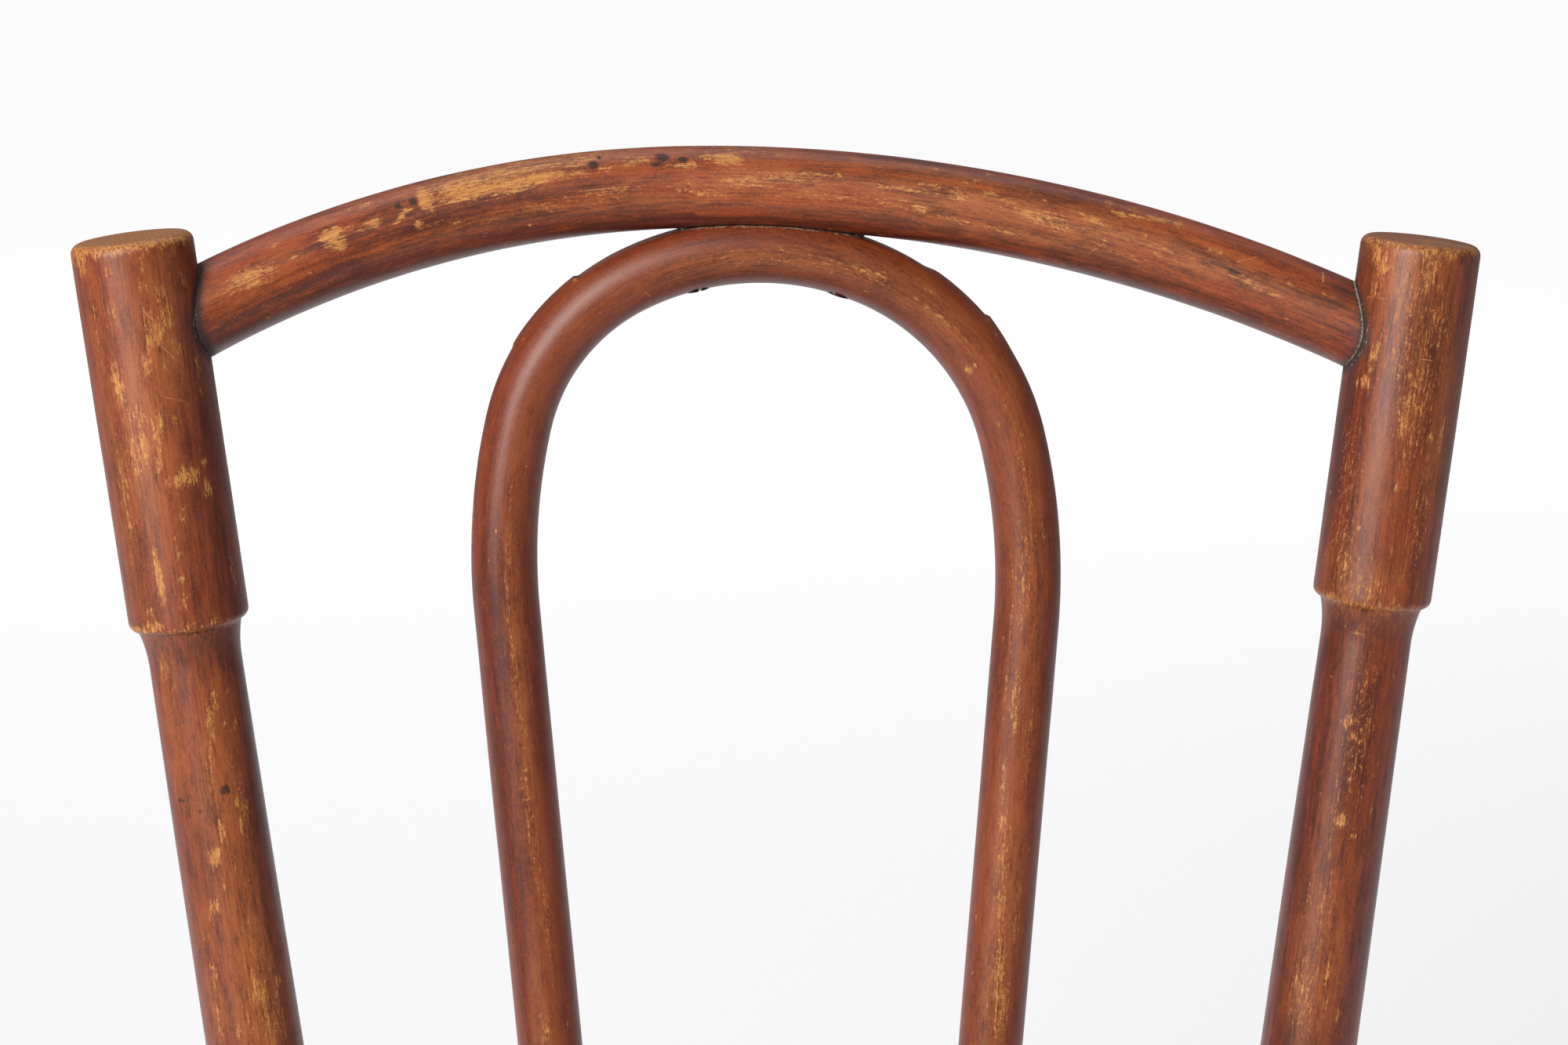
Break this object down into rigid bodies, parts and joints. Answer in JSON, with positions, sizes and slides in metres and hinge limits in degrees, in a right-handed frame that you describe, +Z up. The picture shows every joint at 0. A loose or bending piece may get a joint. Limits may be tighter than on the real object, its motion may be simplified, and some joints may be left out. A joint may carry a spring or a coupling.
{
  "type": "bentwood bistro chair",
  "caption": "Bentwood cafe chair: turned and bent wood posts with stepped heads, an arched crest rail over an inner hoop, a round woven cane seat and a ring stretcher.",
  "frame": {"origin": "on the floor, under the middle of the whole chair's box", "axes": "+Z up, -Y the way the sitter faces, +X to the right as seen from the front"},
  "size_m": [0.4198, 0.4704, 0.8796],
  "materials": {
    "stained_beech": "satin",
    "hoop_beech": "satin",
    "cane": "satin",
    "reed": "satin",
    "aged_steel": "aged"
  },
  "bodies": {
    "root": {"back_post_left": "stained_beech", "back_post_right": "stained_beech", "crest_rail": "stained_beech", "seat_ring": "stained_beech", "front_leg_left": "stained_beech", "front_leg_right": "stained_beech", "leg_ring": "stained_beech", "back_hoop": "hoop_beech", "cane_panel": "cane", "cane_spline": "reed", "crest_brad_left": "aged_steel", "crest_brad_right": "aged_steel", "hoop_top_screw_left": "aged_steel", "hoop_top_screw_right": "aged_steel", "hoop_foot_screw_left": "aged_steel", "hoop_foot_screw_right": "aged_steel", "front_leg_screw_left": "aged_steel", "front_leg_screw_right": "aged_steel", "seat_bolt_left": "aged_steel", "seat_bolt_right": "aged_steel", "seat_bolt_washer_left": "aged_steel", "seat_bolt_washer_right": "aged_steel", "seat_bolt_nut_left": "aged_steel", "seat_bolt_nut_right": "aged_steel", "leg_ring_screw_front_left": "aged_steel", "leg_ring_screw_front_right": "aged_steel", "leg_ring_screw_rear_left": "aged_steel", "leg_ring_screw_rear_right": "aged_steel"}
  },
  "joints": []
}
